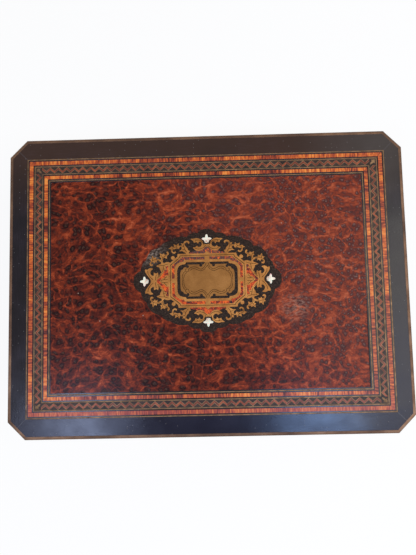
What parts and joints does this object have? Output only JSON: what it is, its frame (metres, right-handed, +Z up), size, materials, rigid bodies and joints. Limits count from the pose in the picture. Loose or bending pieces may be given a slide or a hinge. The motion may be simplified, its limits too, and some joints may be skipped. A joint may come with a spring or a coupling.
{
  "type": "inlaid wooden box",
  "caption": "Rectangular veneered casket with canted corners, hinged lid inlaid with brass, shell and pearl, lined interior and sliding-bolt lock.",
  "frame": {"origin": "middle of the underside, on the surface that the box stands on", "axes": "+X to the right along the front, +Y to the back where the hinges are, +Z up"},
  "size_m": [0.3398, 0.2578, 0.125],
  "materials": {
    "carcase_wood": "raw planed poplar",
    "ebonised_wood": "worn French polish",
    "burl_veneer": "worn French polish",
    "crossband_veneer": "worn French polish",
    "stripe_veneer": "worn French polish",
    "brass_stringing": "dull patina",
    "brass_bead": "dull patina",
    "medallion_brass": "engraved, dull patina",
    "tortoiseshell": "red-backed tortoiseshell, polished",
    "mother_of_pearl": "polished pearl shell",
    "velvet": "short pile",
    "satin": "silk satin",
    "hardware_brass": "brushed",
    "screw_brass": "turned",
    "steel": "filed bright"
  },
  "bodies": {
    "case": {"bottom_board": "carcase_wood", "case_front_board": "carcase_wood", "case_back_board": "carcase_wood", "case_left_board": "carcase_wood", "case_right_board": "carcase_wood", "plinth": "ebonised_wood", "case_side_border": "ebonised_wood", "case_side_strings": "brass_stringing", "case_side_crossband": "crossband_veneer", "case_side_burl": "burl_veneer", "escutcheon": "medallion_brass", "case_wall_lining": "velvet", "floor_pad": "velvet", "lock_case": "hardware_brass", "lock_cover": "hardware_brass", "lock_screws": "screw_brass", "hinge_case_leaves": "hardware_brass", "hinge_case_screws": "screw_brass", "hinge_pins": "steel"},
    "lid": {"lid_top_board": "carcase_wood", "lid_front_board": "carcase_wood", "lid_back_board": "carcase_wood", "lid_left_board": "carcase_wood", "lid_right_board": "carcase_wood", "lid_edge_bead": "brass_bead", "lid_border": "ebonised_wood", "lid_strings": "brass_stringing", "lid_fillets": "ebonised_wood", "lid_outer_crossband": "crossband_veneer", "lid_inner_crossband": "crossband_veneer", "zigzag_ground": "ebonised_wood", "zigzag_lines": "brass_stringing", "zigzag_stripe": "stripe_veneer", "corner_ornaments": "brass_stringing", "lid_burl_panel": "burl_veneer", "medallion_ground": "ebonised_wood", "medallion_outer_band": "medallion_brass", "medallion_shell": "tortoiseshell", "medallion_inner_band": "medallion_brass", "medallion_foliage": "medallion_brass", "medallion_lilies": "mother_of_pearl", "cartouche_plate": "medallion_brass", "lid_side_border": "ebonised_wood", "lid_side_strings": "brass_stringing", "lid_side_burl": "burl_veneer", "lid_wall_lining": "satin", "lid_pad": "satin", "hinge_lid_leaves": "hardware_brass", "hinge_lid_screws": "screw_brass", "link_plate": "hardware_brass", "link_plate_screws": "screw_brass"},
    "bolt": {"lock_bolt": "steel"}
  },
  "joints": [
    {"name": "lid_hinge", "type": "hinge", "parent": "case", "child": "lid", "pos_m": [0, 0.1255, 0.092], "axis": [-1, 0, 0], "range_deg": [0, 100]},
    {"name": "bolt_slide", "type": "slide", "parent": "case", "child": "bolt", "axis": [1, 0, 0], "range_m": [0, 0.005]}
  ]
}
